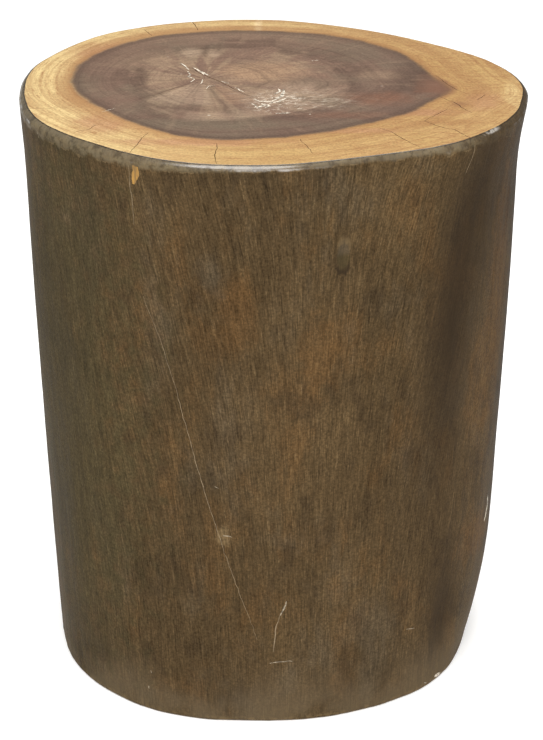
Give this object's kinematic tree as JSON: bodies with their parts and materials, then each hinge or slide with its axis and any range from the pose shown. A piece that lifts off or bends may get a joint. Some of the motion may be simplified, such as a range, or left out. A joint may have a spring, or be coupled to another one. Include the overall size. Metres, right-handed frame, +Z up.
{
  "type": "wood stump riser",
  "caption": "Solid debarked tree stump with a dark stained side and a polished cross-cut top of pale sapwood round dark heartwood; stands on its sawn foot as a stool or display riser.",
  "frame": {"origin": "on the floor, under the middle of the stump's bounding box", "axes": "+Z up along the trunk, towards the polished top; -Y is the front that the picture shows; +X is to the right seen from the front"},
  "size_m": [0.3847, 0.3716, 0.457],
  "materials": {
    "stump_wood": "dark stained satin side, clear lacquered top with growth rings, raw sawn foot"
  },
  "bodies": {
    "root": {"stump": "stump_wood"}
  },
  "joints": []
}
